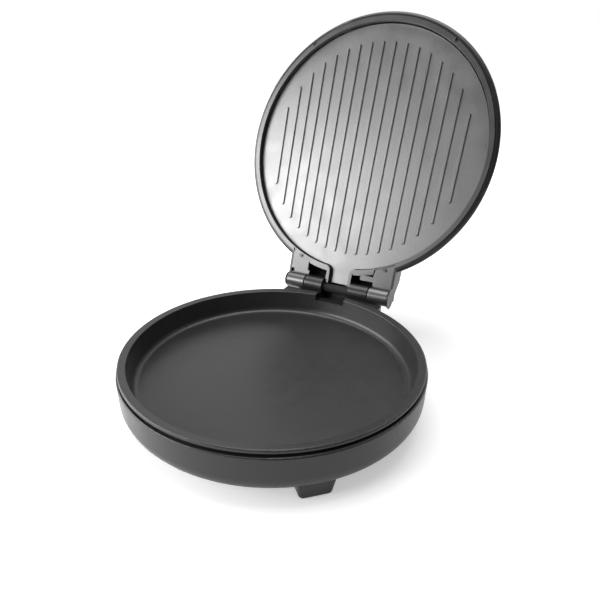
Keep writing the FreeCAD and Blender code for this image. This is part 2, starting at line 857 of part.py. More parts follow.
def thermostat_bracket():
    """Strap across the thermostat's can, screwed to two posts beside it."""
    level = element_under - cell("clamp_thickness")
    strap = box("thermostat_strap", (-21, 21), (-5, 5), (level, element_under))
    free_radius = cell("screw_radius") + cell("fit_gap")
    holes = [
        cylinder(f"thermostat_strap_hole{n}", free_radius, 4, x, 0, level - 1)
        for n, x in enumerate(THERMOSTAT_POSTS)
    ]
    waist = cylinder("thermostat_strap_waist", 6.2 + 0.2, 4, 0, 0, level - 1)
    return cut("thermostat_bracket", strap, holes + [waist])


def thermal_fuse():
    """One-shot fuse along the pan's back, with its two leads."""
    radius = 2.2
    level = pan_under - radius - cell("fit_gap")
    barrel = cylinder("thermal_fuse_barrel", radius, 11, -5.5, 40, level, "X")
    leads = [
        cylinder(f"thermal_fuse_lead{n}", 0.7, 9, x, 40, level, "X")
        for n, x in enumerate((-14, 5))
    ]
    return fuse("thermal_fuse", [barrel] + leads)


def terminal_block():
    """Three-way ceramic block on the floor of the hinge block's hollow."""
    left = -cell("inlet_side") - 20
    right = left + 34
    floor = block_shelf - 22
    rear = block_rear - cell("housing_wall") - cell("seat_gap")
    block = box("terminal_block_body", (left, right), (rear - 14, rear), (floor, floor + 15))
    wells = [
        cylinder(f"terminal_block_well{n}", 2.6, 9, left + 6 + 11 * n, rear - 7, floor + 8)
        for n in range(3)
    ]
    mouths = [
        cylinder(f"terminal_block_mouth{n}", 2.0, 16, left + 6 + 11 * n, rear - 15, floor + 5, "Y")
        for n in range(3)
    ]
    return cut("terminal_block", block, wells + mouths)


def bottom_cover():
    body = new_body("bottom_cover")
    disc = sketch(body, "disc", "XY_Plane", housing_bottom)
    circle(disc, 0, 0, cover_radius)
    for angle in COVER_ANGLES:
        circle(disc, *on_circle(cover_screw_circle, angle), cell("screw_radius") + cell("fit_gap"))
    pad(body, disc, cell("cover_thickness"))
    for circle_radius, count in ((38, 12), (62, 18)):
        vent = sketch(body, f"vent{count}", "XY_Plane", housing_bottom - 1)
        slot(vent, 0, circle_radius - 6, circle_radius + 6, 2.0)
        made = pocket(body, vent, cell("cover_thickness") + 2, Reversed=True)
        around(body, made, count)
    return body


def foot(name, angle):
    """Tapered moulded foot under the housing's rounded corner, with a recess for its pad."""
    body = new_body(f"foot_{name}")
    bottom = cell("pad_proud")
    half_length = cell("foot_length") / 2
    half_width = cell("foot_width") / 2
    centre = foot_circle
    block = sketch(body, "block", "XY_Plane", bottom)
    rectangle(block, centre - half_length, centre + half_length, -half_width, half_width)
    pad(body, block, cell("foot_height") + 14, TaperAngle=cell("foot_taper"))
    soften(body, cell("foot_corner"), slanted_edge)
    soften(body, cell("foot_edge_round"), flat_edge_at(bottom))
    corner = cell("housing_corner")
    gap = cell("seat_gap")
    seat = sketch(body, "seat", "XZ_Plane")
    outline(seat, [
        (60, housing_bottom),
        (housing_radius - corner, housing_bottom),
        (housing_radius - corner, housing_bottom - gap),
        (housing_radius + gap, housing_bottom + corner),
        (housing_radius + gap, rim_z),
        (60, rim_z),
    ], arcs={2: (housing_radius - corner, housing_bottom + corner)})
    groove(body, seat)
    recess = sketch(body, "recess", "XY_Plane", bottom)
    circle(recess, centre, 0, cell("pad_radius") + cell("fit_gap"))
    pocket(body, recess, cell("pad_recess"), Reversed=True)
    hole = sketch(body, "hole", "XY_Plane", bottom)
    circle(hole, foot_screw_circle, 0, cell("screw_radius") + cell("fit_gap"))
    pocket(body, hole, cell("foot_height"), Reversed=True)
    sink = sketch(body, "sink", "XY_Plane", bottom)
    circle(sink, foot_screw_circle, 0, cell("screw_head_radius") + cell("seat_gap"))
    pocket(body, sink, foot_screw_seat() - bottom, Reversed=True)
    body.Placement.Rotation = FreeCAD.Rotation(FreeCAD.Vector(0, 0, 1), angle)
    return body


def foot_screw_seat():
    return cell("foot_height") - 8


def slanted_edge(edge):
    """The four tapered corners of a foot: straight edges that rise steeply."""
    first, last = edge.Vertexes[0].Point, edge.Vertexes[-1].Point
    rise = abs(first.z - last.z)
    return rise > 0.8 * (first - last).Length and rise > 5


def flat_edge_at(level):
    level = size(level).value

    def wanted(edge):
        return all(abs(point.Point.z - level) < NEAR for point in edge.Vertexes)

    return wanted


def foot_pads():
    height = cell("pad_proud") + cell("pad_recess")
    pads = [
        cylinder(f"foot_pad{n}", cell("pad_radius"), height, *on_circle(foot_circle, angle), 0)
        for n, angle in enumerate(FEET.values())
    ]
    return fuse("foot_pads", pads)


def hinge_pin(name, side):
    """Steel pin through the lid's barrel and the base's knuckle."""
    inner = cell("knuckle_inner") + 1
    length = barrel_outer - 1 - inner
    start = inner if side > 0 else -(inner + length)
    pin = cylinder(f"hinge_pin_{name}", cell("pin_radius"), length, start, hinge_y, hinge_z, "X")
    pin.Label = f"hinge_pin_{name}"
    return pin


def hinge_sleeve():
    """Heat-proof sleeve between the knuckles, which carries the lid's leads."""
    half = cell("knuckle_inner") - cell("fit_gap")
    tube = cylinder("hinge_sleeve_tube", cell("sleeve_radius"), half * 2, -half, hinge_y, hinge_z, "X")
    bore = cylinder("hinge_sleeve_bore", cell("sleeve_radius") - 1.5, half * 2 + 2, -half - 1, hinge_y, hinge_z, "X")
    return cut("hinge_sleeve", tube, [bore])


def cord_grommet():
    """Lined inlet hole in the hinge block's rear wall, flanged on both sides of the wall."""
    body = new_body("cord_grommet")
    bore = cell("inlet_radius")
    wall = cell("housing_wall")
    profile = sketch(body, "profile", "XZ_Plane")
    outline(profile, [
        (bore, -1.6), (bore + 3, -1.6), (bore + 3, 0), (bore + 2, 0), (bore + 2, wall),
        (bore + 4, wall), (bore + 4, wall + 2), (bore, wall + 2),
    ])
    revolve(body, profile)
    body.Placement.Rotation = FreeCAD.Rotation(FreeCAD.Vector(1, 0, 0), -90)
    place(body, cell("inlet_side"), block_rear - wall, inlet_height())
    return body


# Lid

def lid_frame():
    """Rim ring round the upper plate, the channel round its tongue, and the hinge ears."""
    body = new_body("lid_frame")
    inner = recess_radius
    outer = lid_radius
    top = lid_z + cell("frame_height")
    ring = sketch(body, "ring", "XZ_Plane")
    rectangle(ring, inner, outer, lid_z, top)
    revolve(body, ring)
    rear_rim = sketch(body, "rear_rim", "YZ_Plane")
    rear_radius = outer + cell("rear_rim_overhang")
    rectangle(rear_rim, outer - 1, rear_radius, ear_z, top)
    revolve(body, rear_rim, arcsine((barrel_inner - 0.4) / rear_radius) * 2, Midplane=True)

    half = cell("channel_half")
    flare = half + 10
    channel_end = hinge_y - cell("tongue_end")
    roof = plate_back + cell("channel_gap")
    channel = sketch(body, "channel", "XY_Plane", lid_z)
    outline(channel, [
        (-flare, hinge_y - 50), (flare, hinge_y - 50), (flare, hinge_y - 38),
        (half, hinge_y - 30), (half, channel_end), (-half, channel_end),
        (-half, hinge_y - 30), (-flare, hinge_y - 38),
    ])
    pad(body, channel, channel_top - lid_z)
    plate_room = sketch(body, "plate_room", "XY_Plane", lid_z - 1)
    circle(plate_room, 0, 0, inner)
    pocket(body, plate_room, cell("lid_height"), Reversed=True)
    bed = sketch(body, "tongue_bed", "XY_Plane", lid_z - 1)
    gap = cell("channel_gap")
    outline(bed, tongue_outline(gap, channel_end + 1))
    pocket(body, bed, roof - lid_z + 1, Reversed=True)
    corner_x, corner_y = tongue_root(gap, inner)
    soften(body, cell("tongue_round") - gap, upright_at(corner_x, corner_y, 1.5))

    for side in (-1, 1):
        ear(body, side)

    for angle in LID_POST_ANGLES:
        lug(body, angle)
    for side in (-1, 1):
        mark = sketch(body, f"mark{side + 1}", "XY_Plane", lid_z - 1)
        circle(mark, *on_circle(outer - 0.6, -90 + side * MARK_ANGLE), 2.4)
        pocket(body, mark, 4.0, Reversed=True)
    return open_lid(body)


MARK_ANGLE = 35.3


def ear(body, side):
    """Hinge ear: a web from the ring back to the barrel, with its stop heel."""
    width = barrel_outer - barrel_inner
    start = barrel_inner if side > 0 else -barrel_outer
    curl_front = curl_start[0]
    cover = cell("cover_thickness")
    web = sketch(body, f"web{side + 1}", "YZ_Plane", start)
    outline(web, [
        (ear_front, ear_z + cover),
        (ear_rear, ear_z + cover),
        (ear_rear, ear_z + cover + 3),
        (hinge_y - 6, ear_z + cover + 3),
        about_hinge(knuckle_reach - 0.9, 135),
        (curl_front - 2.3, hinge_z + knuckle_reach - 3.8),
        (curl_front - 2.3, hinge_z + knuckle_reach + 0.2),
        (hinge_y - 24, hinge_z + knuckle_reach + 2.2),
        (ear_front, hinge_z + knuckle_reach + 2.2),
    ])
    pad(body, web, width)
    if side > 0:
        tab = sketch(body, "tab", "YZ_Plane", cell("tab_inner"))
        tab_low = ear_z + cover
        rectangle(tab, hinge_y - cell("tab_front"), hinge_y - cell("tab_rear"), tab_low, tab_low + 2.4)
        pad(body, tab, start - cell("tab_inner") + 1)
    room = sketch(body, f"room{side + 1}", "XY_Plane", lid_z - 1)
    circle(room, 0, 0, recess_radius)
    pocket(body, room, cell("lid_height"), Reversed=True)
    barrel = sketch(body, f"barrel{side + 1}", "YZ_Plane", start)
    circle(barrel, *shut(0, cell("barrel_rise")), cell("knuckle_radius"))
    pad(body, barrel, width)
    heel_width = cell("block_half") - barrel_inner - 1
    heel_start = barrel_inner + 1 if side > 0 else -cell("block_half")
    heel = sketch(body, f"heel{side + 1}", "YZ_Plane", heel_start)
    stop = cell("block_reach") + cell("seat_gap")
    low = knuckle_reach + cell("hinge_clearance")
    outline(heel, [
        shut(stop - 4, -4), shut(stop, -9), shut(stop, -low - 8.5), shut(stop + 4, -low - 6.5),
        shut(stop + 3, -3), shut(stop - 1, 3),
    ])
    pad(body, heel, heel_width)
    hole = sketch(body, f"pin_hole{side + 1}", "YZ_Plane", start - (0 if side > 0 else 1))
    circle(hole, hinge_y, hinge_z, cell("pin_radius") + cell("pin_clearance"))
    depth = width - 0.6 if side > 0 else width + 1
    pocket(body, hole, depth, Reversed=True)
    seat = sketch(body, f"cover_seat{side + 1}", "XY_Plane", lid_z - 1)
    seat_inner = barrel_inner + cell("seat_gap")
    seat_outer = barrel_outer + cell("seat_gap")
    outline(seat, *cover_outline(side, seat_inner, seat_outer, ear_seat_radius, hinge_y - 10))
    pocket(body, seat, ear_z + cover - lid_z + 1, Reversed=True)
    screw_hole = sketch(body, f"screw_hole{side + 1}", "XY_Plane", ear_z)
    circle(screw_hole, *ear_screw(side), cell("screw_radius") + cell("fit_gap"))
    pocket(body, screw_hole, 12, Reversed=True)


def cover_outline(side, inner, outer, radius, rear):
    """Corners and front arc of an ear's cover: its front edge follows a circle of that radius."""
    near = (side * inner, root(radius * radius - inner * inner))
    far = (side * outer, root(radius * radius - outer * outer))
    return [near, far, (side * outer, rear), (side * inner, rear)], {0: (size(0), None)}


def ear_screw(side):
    x = side * cell("ear_screw_side")
    return x, root(ear_screw_circle * ear_screw_circle - x * x)


def lug(body, angle):
    """Lug over the plate's edge, with the screw hole that holds the plate."""
    low = plate_back + cell("seat_gap")
    piece = sketch(body, f"lug{angle}", "XY_Plane", low)
    circle(piece, *on_circle(lug_circle, angle), 6.0)
    pad(body, piece, lid_z + cell("frame_height") - low)
    hole = sketch(body, f"lug_hole{angle}", "XY_Plane", low - 1)
    circle(hole, *on_circle(lug_circle, angle), cell("screw_radius") + cell("fit_gap"))
    pocket(body, hole, 10, Reversed=True)


def tongue_outline(gap, end):
    """Corners of the tongue, or of its bed when gap widens it."""
    root_half = cell("tongue_root_half") + gap
    end_half = cell("tongue_end_half") + gap
    start = hinge_y - 50
    return [(-root_half, start), (root_half, start), (root_half, hinge_y - 36),
            (end_half, end), (-end_half, end), (-root_half, hinge_y - 36)]


def tongue_root(gap, radius):
    """Where the tongue's side meets a circle of that radius."""
    half = cell("tongue_root_half") + gap
    return half, root(radius * radius - half * half)


def lid_cover():
    """Domed outer shell, open below, with the hood and the end walls over the hinge."""
    body = new_body("lid_cover")
    wall = cell("lid_wall")
    low = ear_z
    shoulder = lid_z + cell("lid_shoulder_height")
    crown = lid_z + cell("lid_height")
    shoulder_radius = lid_shoulder_radius
    shell_radius = lid_shell_radius
    lip_round = cell("lid_lip_round")
    neck = lid_radius + cell("fit_gap")
    lip_top = low + cell("lid_lip_depth")
    shell = sketch(body, "shell", "XZ_Plane")
    outline(shell, [
        (0, crown), (shoulder_radius, shoulder), (shell_radius, low + lip_round),
        (shell_radius - lip_round, low), (neck, low), (neck, lip_top),
        (shell_radius - wall, lip_top + 3), (shoulder_radius - wall, shoulder - wall),
        (0, crown - wall),
    ], arcs={0: (size(0), None), 2: (shell_radius - lip_round, None), 7: (size(0), None)})
    revolve(body, shell)
    soften(body, cell("lid_corner"), ring_at(shoulder_radius, shoulder))
    soften(body, cell("lid_corner") - wall, ring_at(shoulder_radius - wall, shoulder - wall))

    outer = cell("ear_outer")
    front = ear_front - 1
    curl_end = cell("hood_end_angle")
    hood = sketch(body, "hood", "YZ_Plane", -outer)
    outline(hood, [
        (front, ear_z), (hinge_y - 28, ear_z), curl_start,
        about_hinge(hood_curl, curl_end), about_hinge(hood_curl + wall, curl_end),
        about_hinge(hood_curl + wall, 115), (hinge_y - 24, hood_top), (front, hood_top + 1),
    ], arcs={2: (hinge_y, hinge_z), 4: (hinge_y, hinge_z)})
    pad(body, hood, outer * 2)
    for side in (-1, 1):
        start = outer - cell("ear_wall") if side > 0 else -outer
        cheek = sketch(body, f"cheek{side + 1}", "YZ_Plane", start)
        outline(cheek, [
            (ear_front, ear_z), (hinge_y - 10, ear_z), (hinge_y, hinge_z),
            (hinge_y + 6, hinge_z + knuckle_reach - 2.8),
            (hinge_y - 12, hinge_z + knuckle_reach + 4.2),
            (hinge_y - 24, hood_top), (ear_front, hood_top + 1),
        ])
        pad(body, cheek, cell("ear_wall"))
        end = sketch(body, f"cheek_end{side + 1}", "YZ_Plane", start)
        end_slope = size(38)
        narrow = cell("ear_wall") * sine(end_slope) / cosine(end_slope)
        end_radius = cell("knuckle_radius") + 0.5
        circle(end, *shut(0, cell("barrel_rise")), end_radius if side > 0 else end_radius - narrow)
        pad(body, end, cell("ear_wall"), TaperAngle=end_slope if side > 0 else -end_slope)
    inside = sketch(body, "hood_inside", "YZ_Plane", -(outer - cell("ear_wall")))
    curl_front = curl_start[0]
    outline(inside, [
        (front - 30, ear_z - 3), (curl_front, ear_z - 3), (curl_front, hinge_z + hood_curl - 0.4),
        (hinge_y - 25.4, hood_top - 2), (front - 30, hood_top + 1 - wall),
    ])
    pocket(body, inside, (outer - cell("ear_wall")) * 2, Reversed=True)
    bowl = sketch(body, "bowl", "XZ_Plane")
    inner_high = shoulder_radius - wall
    outline(bowl, [
        (0, low - 4), (neck, low - 4), (neck, lip_top), (shell_radius - wall, lip_top + 3),
        (inner_high + 1, shoulder - wall - 12), (inner_high - 7, shoulder - wall - 3),
        (0, shoulder - wall - 2),
    ])
    groove(body, bowl)
    lens = sketch(body, "lens_holes", "XY_Plane", shoulder - 10)
    for side in (-1, 1):
        circle(lens, side * cell("lens_spacing") / 2, -lens_back, cell("lens_radius") + cell("fit_gap"))
    pocket(body, lens, 40, Reversed=True)
    return open_lid(body)


def about_hinge(radius, angle):
    """Point at that radius and angle from the hinge axis, in the shut lid's YZ plane."""
    y, z = on_circle(size(radius), angle)
    return hinge_y + y, hinge_z + z


def upper_plate():
    """Cast plate with raised ribs that end on a circle, and a tongue towards the hinge."""
    body = new_body("upper_plate")
    disc = sketch(body, "disc", "XY_Plane", plate_face)
    circle(disc, 0, 0, plate_radius)
    pad(body, disc, cell("plate_thickness"))
    tongue = sketch(body, "tongue", "XY_Plane", plate_face)
    outline(tongue, tongue_outline(0, hinge_y - cell("tongue_end") - 1))
    pad(body, tongue, cell("plate_thickness"))
    corner_x, corner_y = tongue_root(0, plate_radius)
    soften(body, cell("tongue_round"), upright_at(corner_x, corner_y, 1.5))
    ribs = sketch(body, "ribs", "XY_Plane", plate_face)
    half_width = cell("rib_width") / 2
    narrow = cell("rib_height") * sine(RIB_SLOPE) / cosine(RIB_SLOPE)
    for x in rib_places():
        half = root(rib_circle * rib_circle - x * x) - half_width + narrow
        slot(ribs, x, -half, half, half_width)
    pad(body, ribs, cell("rib_height"), Reversed=True, TaperAngle=size(-RIB_SLOPE))
    posts = sketch(body, "posts", "XY_Plane", plate_back - 0.5)
    for angle in LID_POST_ANGLES:
        circle(posts, *on_circle(lid_post_circle, angle), cell("post_radius"))
    pad(body, posts, lid_shield_drop + 0.5)
    clamp_posts = sketch(body, "clamp_posts", "XY_Plane", plate_back - 0.5)
    for angle in CLAMP_ANGLES:
        circle(clamp_posts, *on_circle(clamp_circle, angle), 4.0)
    pad(body, clamp_posts, element_height + 0.5)
    holes = sketch(body, "screw_holes", "XY_Plane", plate_back + 0.6)
    free_radius = cell("screw_radius") + cell("fit_gap")
    for angle in LID_POST_ANGLES:
        circle(holes, *on_circle(lid_post_circle, angle), free_radius)
    for angle in CLAMP_ANGLES:
        circle(holes, *on_circle(clamp_circle, angle), free_radius)
    pocket(body, holes, lid_shield_drop, Reversed=True)
    edge_holes = sketch(body, "edge_holes", "XY_Plane", plate_back - 1.7)
    for angle in LID_POST_ANGLES:
        circle(edge_holes, *on_circle(lug_circle, angle), free_radius)
    pocket(body, edge_holes, 5, Reversed=True)
    return open_lid(body)


RIB_SLOPE = 24


def rib_places():
    """Where the ribs run: evenly either side of the middle, as many as the rib circle holds."""
    pitch = cell("rib_pitch")
    side_count = int((rib_circle.value - cell("rib_width").value) / pitch.value)
    return [pitch * number for number in range(-side_count, side_count + 1)]


def hinge_cover(name, side):
    """Screwed plate under each ear, following the rim's curve."""
    body = new_body(f"hinge_cover_{name}")
    inner = barrel_inner + 0.6
    front_radius = ear_seat_radius + cell("seat_gap")
    plate = sketch(body, "plate", "XY_Plane", ear_z)
    outline(plate, *cover_outline(side, inner, barrel_outer, front_radius, ear_rear))
    pad(body, plate, cell("cover_thickness"))
    hole = sketch(body, "hole", "XY_Plane", ear_z - 1)
    circle(hole, *ear_screw(side), cell("screw_radius") + cell("fit_gap"))
    pocket(body, hole, cell("cover_thickness") + 2, Reversed=True)
    return open_lid(body)


def lid_handle():
    """Grip along the front of the cover's wall, swelling outwards to a finger edge."""
    body = new_body("lid_handle")
    shoulder = cell("lid_shoulder_height")
    start = cell("ear_lift") + cell("lid_lip_round")
    slope = (lid_shoulder_radius - lid_shell_radius) / (shoulder - start)

    def wall_at(height):
        return lid_shell_radius + slope * (height - start) + cell("seat_gap")

    low, high = size(11), size(24)
    edge = wall_at(high) + cell("handle_proud")
    profile = sketch(body, "profile", "YZ_Plane")
    outline(profile, [
        (-wall_at(low), lid_z + low), (-wall_at(low) - 1.5, lid_z + low),
        (-edge, lid_z + high - 1.5), (-edge, lid_z + high + 1.5), (-wall_at(high), lid_z + high),
    ])
    revolve(body, profile, cell("handle_angle"), Midplane=True)
    open_lid(body)
    return body


def lens(name, side):
    """Indicator lens through the cover's dome, with a flange under it."""
    x = side * cell("lens_spacing") / 2
    y = -lens_back
    top = dome_height(lens_back) + 1.0
    under = top - cell("lid_wall") - 2.0
    cap = cylinder(f"{name}_lens_cap", cell("lens_radius"), top - under, x, y, under)
    flange = cylinder(f"{name}_lens_flange", cell("lens_radius") + 1.8, 1.2, x, y, under - 1.0)
    return open_lid(fuse(f"{name}_light_lens", [cap, flange]))


def dome_height(reach):
    """Height of the cover's dome at that distance from its middle."""
    rise = cell("lid_height") - cell("lid_shoulder_height")
    edge = lid_shoulder_radius
    ball = (edge * edge + rise * rise) / (rise * 2)
    return lid_z + cell("lid_height") - ball + root(ball * ball - reach * reach)


# Build, check and write

def heater_fasteners():
    """Screws of the clamps, the thermostat's bracket, the shields and the pan."""
    clamp_level = element_under - cell("clamp_thickness")
    below = [(*on_circle(clamp_circle, a), clamp_level) for a in CLAMP_ANGLES]
    below += [(x, 0, clamp_level) for x in THERMOSTAT_POSTS]
    lid_clamp = lid_element_top + cell("clamp_thickness")
    above = [(*on_circle(clamp_circle, a), lid_clamp) for a in CLAMP_ANGLES]
    lid_post_top = lid_shield + cell("shield_thickness")
    lid_posts = [(*on_circle(lid_post_circle, a), lid_post_top) for a in LID_POST_ANGLES]
    frame_top = lid_z + cell("frame_height")
    lid_lugs = [(*on_circle(lug_circle, a), frame_top) for a in LID_POST_ANGLES]
    pan_seat = housing_bottom + cell("screw_head_height") + 1
    pan = [(*on_circle(post_circle, a), pan_seat) for a in POST_ANGLES]
    pan_length = shield_top - pan_seat + shield_drop - 2
    return [
        screws("lower_element_screws", below, element_height_screw()),
        open_lid(screws("upper_element_screws", above, element_height_screw(), up=False)),
        open_lid(screws("upper_shield_screws", lid_posts, size(10), up=False)),
        open_lid(screws("upper_plate_screws", lid_lugs, frame_top - plate_back + 1.6, up=False)),
        screws("lower_plate_screws", pan, pan_length),
    ]


def element_height_screw():
    return element_height + cell("clamp_thickness") - 1.2


def underside_fasteners():
    cover = [(*on_circle(cover_screw_circle, a), housing_bottom) for a in COVER_ANGLES]
    feet = [(*on_circle(foot_screw_circle, a), foot_screw_seat()) for a in FEET.values()]
    boss_tip = housing_floor + cell("floor_room") - cell("boss_gap") - 0.3
    return [
        screws("bottom_cover_screws", cover, boss_tip - housing_bottom),
        screws("foot_screws", feet, boss_tip - foot_screw_seat()),
    ]


def hinge_fasteners():
    places = [(*ear_screw(side), ear_z) for side in (-1, 1)]
    return [open_lid(screws("hinge_cover_screws", places, size(8), head_radius=cell("ear_screw_head")))]


def all_pieces():
    pieces = [
        base_housing(),
        lower_plate(),
        heating_element("lower_heating_element", pan_under, True),
        element_clamps("lower_element_clamps", element_under - cell("clamp_thickness")),
        heat_shield(
            "lower_heat_shield", shield_under, -4.0,
            shield_radius, post_circle, POST_ANGLES,
        ),
        thermostat(),
        thermostat_bracket(),
        thermal_fuse(),
        terminal_block(),
        bottom_cover(),
        foot_pads(),
        hinge_pin("left", -1),
        hinge_pin("right", 1),
        hinge_sleeve(),
        cord_grommet(),
        lid_frame(),
        lid_cover(),
        upper_plate(),
        open_lid(heating_element("upper_heating_element", plate_back, False)),
        open_lid(element_clamps("upper_element_clamps", lid_element_top)),
        open_lid(heat_shield(
            "upper_heat_shield", lid_shield, 4.0,
            lid_shield_radius, lid_post_circle, LID_POST_ANGLES,
        )),
        hinge_cover("left", -1),
        hinge_cover("right", 1),
        lid_handle(),
        lens("power", -1),
        lens("ready", 1),
    ]
    pieces += [foot(name, angle) for name, angle in FEET.items()]
    return pieces + heater_fasteners() + underside_fasteners() + hinge_fasteners()


def main():
    os.makedirs("parts", exist_ok=True)
    pieces = all_pieces()
    doc.recompute()
    for thing in doc.Objects:
        if {"Invalid", "Error"} & set(thing.State):
            raise RuntimeError(f"{thing.Name} is {thing.State}")
    for piece in pieces:
        shape = piece.Shape
        if shape.isNull() or not shape.isValid() or not shape.Solids:
            raise RuntimeError(f"{piece.Label} has no valid solid")
        shape.exportStep(f"parts/{piece.Label}.step")


if __name__ == "__main__":
    main()
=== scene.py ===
import json
import math

import bpy
from mathutils import Matrix, Vector

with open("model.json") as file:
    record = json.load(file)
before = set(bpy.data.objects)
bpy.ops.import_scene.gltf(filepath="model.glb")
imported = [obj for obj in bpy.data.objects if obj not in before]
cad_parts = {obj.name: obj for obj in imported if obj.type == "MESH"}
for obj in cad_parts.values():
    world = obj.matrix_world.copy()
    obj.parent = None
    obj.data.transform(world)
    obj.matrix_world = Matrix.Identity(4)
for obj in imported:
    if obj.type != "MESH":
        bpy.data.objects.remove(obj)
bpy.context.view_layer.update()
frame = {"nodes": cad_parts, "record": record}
NODES = frame["nodes"]
SLOTS = {part["node"]: part["material_slot"] for part in frame["record"]["subparts"]}

# The photograph's camera, found from the outlines of the base and the lid.
IMAGE = 600
CAMERA_PLACE = (0.24002, -0.40915, 0.34550)
CAMERA_AZIMUTH = 30.975
CAMERA_ELEVATION = 29.929
CAMERA_ROLL = -0.938
FOCAL_PIXELS = 500.61
CENTRE_PIXEL = (266.55, 345.10)
SENSOR = 36.0


def make_camera():
    data = bpy.data.cameras.new("camera")
    camera = bpy.data.objects.new("camera", data)
    bpy.context.scene.collection.objects.link(camera)
    azimuth, elevation = math.radians(CAMERA_AZIMUTH), math.radians(CAMERA_ELEVATION)
    back = Vector((
        math.sin(azimuth) * math.cos(elevation),
        -math.cos(azimuth) * math.cos(elevation),
        math.sin(elevation),
    ))
    turn = (-back).to_track_quat("-Z", "Y").to_matrix()
    turn = turn @ Matrix.Rotation(math.radians(CAMERA_ROLL), 3, "Z")
    camera.matrix_world = Matrix.Translation(CAMERA_PLACE) @ turn.to_4x4()
    data.sensor_width = SENSOR
    data.lens = FOCAL_PIXELS * SENSOR / IMAGE
    data.shift_x = (IMAGE / 2 - CENTRE_PIXEL[0]) / IMAGE
    data.shift_y = (CENTRE_PIXEL[1] - IMAGE / 2) / IMAGE
    data.clip_start = 0.01
    bpy.context.scene.camera = camera


# Node graph helpers

class Graph:
    """Short calls for building one material's nodes."""

    def __init__(self, name):
        self.material = bpy.data.materials.new(name)
        self.material.use_nodes = True
        self.nodes = self.material.node_tree.nodes
        self.links = self.material.node_tree.links
        self.shader = self.nodes["Principled BSDF"]
        self.place = self.nodes.new("ShaderNodeTexCoord").outputs["Object"]

    def link(self, out, into):
        self.links.new(out, into)

    def noise(self, scale, detail=3.0, roughness=0.5, stretch=None):
        node = self.nodes.new("ShaderNodeTexNoise")
        node.inputs["Scale"].default_value = scale
        node.inputs["Detail"].default_value = detail
        node.inputs["Roughness"].default_value = roughness
        self.link(self.stretched(stretch), node.inputs["Vector"])
        return node.outputs["Fac"]

    def stretched(self, stretch):
        if stretch is None:
            return self.place
        node = self.nodes.new("ShaderNodeMapping")
        node.inputs["Scale"].default_value = stretch
        self.link(self.place, node.inputs["Vector"])
        return node.outputs["Vector"]

    def spread(self, value, low, high, out_low, out_high):
        node = self.nodes.new("ShaderNodeMapRange")
        self.link(value, node.inputs["Value"])
        for name, number in zip(
            ("From Min", "From Max", "To Min", "To Max"), (low, high, out_low, out_high)
        ):
            node.inputs[name].default_value = number
        return node.outputs["Result"]

    def mix(self, factor, first, second):
        node = self.nodes.new("ShaderNodeMix")
        node.data_type = "RGBA"
        self.link(factor, node.inputs["Factor"])
        node.inputs[6].default_value = (*first, 1.0)
        node.inputs[7].default_value = (*second, 1.0)
        return node.outputs[2]

    def bump(self, height, strength, distance, below=None):
        node = self.nodes.new("ShaderNodeBump")
        node.inputs["Strength"].default_value = strength
        node.inputs["Distance"].default_value = distance
        self.link(height, node.inputs["Height"])
        if below is not None:
            self.link(below, node.inputs["Normal"])
        return node.outputs["Normal"]

    def set(self, **values):
        for name, value in values.items():
            self.shader.inputs[name.replace("_", " ")].default_value = value


def plastic(name, dark, light, roughness, texture, depth, specular=0.5, ior=1.5):
    """Moulded plastic: a fine spark-eroded texture, faint unevenness in colour and gloss."""
    g = Graph(name)
    broad = g.noise(9.0, 4.0, 0.6)
    g.link(g.mix(broad, dark, light), g.shader.inputs["Base Color"])
    gloss = g.spread(g.noise(34.0, 5.0, 0.6), 0.3, 0.7, roughness - 0.04, roughness + 0.05)
    g.link(gloss, g.shader.inputs["Roughness"])
    g.set(Specular_IOR_Level=specular, IOR=ior)
    g.link(g.bump(g.noise(texture, 2.0), depth, 0.0001), g.shader.inputs["Normal"])
    return g.material


def coated(name, dark, light, roughness, specular=0.5, ior=1.5):
    """Non-stick coating: fine speckle, slight orange peel, soft sheen."""
    g = Graph(name)
    speckle = g.spread(g.noise(1500.0, 2.0, 0.7), 0.45, 0.75, 0.0, 1.0)
    g.link(g.mix(speckle, dark, light), g.shader.inputs["Base Color"])
    gloss = g.spread(g.noise(45.0, 4.0, 0.6), 0.3, 0.7, roughness - 0.05, roughness + 0.05)
    g.link(gloss, g.shader.inputs["Roughness"])
    g.set(Specular_IOR_Level=specular, IOR=ior)
    peel = g.bump(g.noise(420.0, 2.0), 0.25, 0.0002)
    g.link(g.bump(g.noise(1800.0, 2.0), 0.3, 0.0001, peel), g.shader.inputs["Normal"])
    return g.material


def metal(name, colour, shade, roughness, grain=(1.0, 1.0, 1.0)):
    """Bare or plated metal with faint grain."""
    g = Graph(name)
    streaks = g.noise(260.0, 3.0, 0.6, grain)
    g.link(g.mix(streaks, shade, colour), g.shader.inputs["Base Color"])
    g.link(g.spread(streaks, 0.3, 0.7, roughness - 0.06, roughness + 0.08), g.shader.inputs["Roughness"])
    g.set(Metallic=1.0)
    g.link(g.bump(streaks, 0.12, 0.0001), g.shader.inputs["Normal"])
    return g.material


def rubber(name, colour):
    g = Graph(name)
    dust = g.spread(g.noise(120.0, 5.0, 0.7), 0.5, 0.8, 0.0, 0.5)
    light = tuple(part + 0.03 for part in colour)
    g.link(g.mix(dust, colour, light), g.shader.inputs["Base Color"])
    g.set(Roughness=0.82, Specular_IOR_Level=0.3)
    g.link(g.bump(g.noise(700.0, 3.0), 0.3, 0.0002), g.shader.inputs["Normal"])
    return g.material


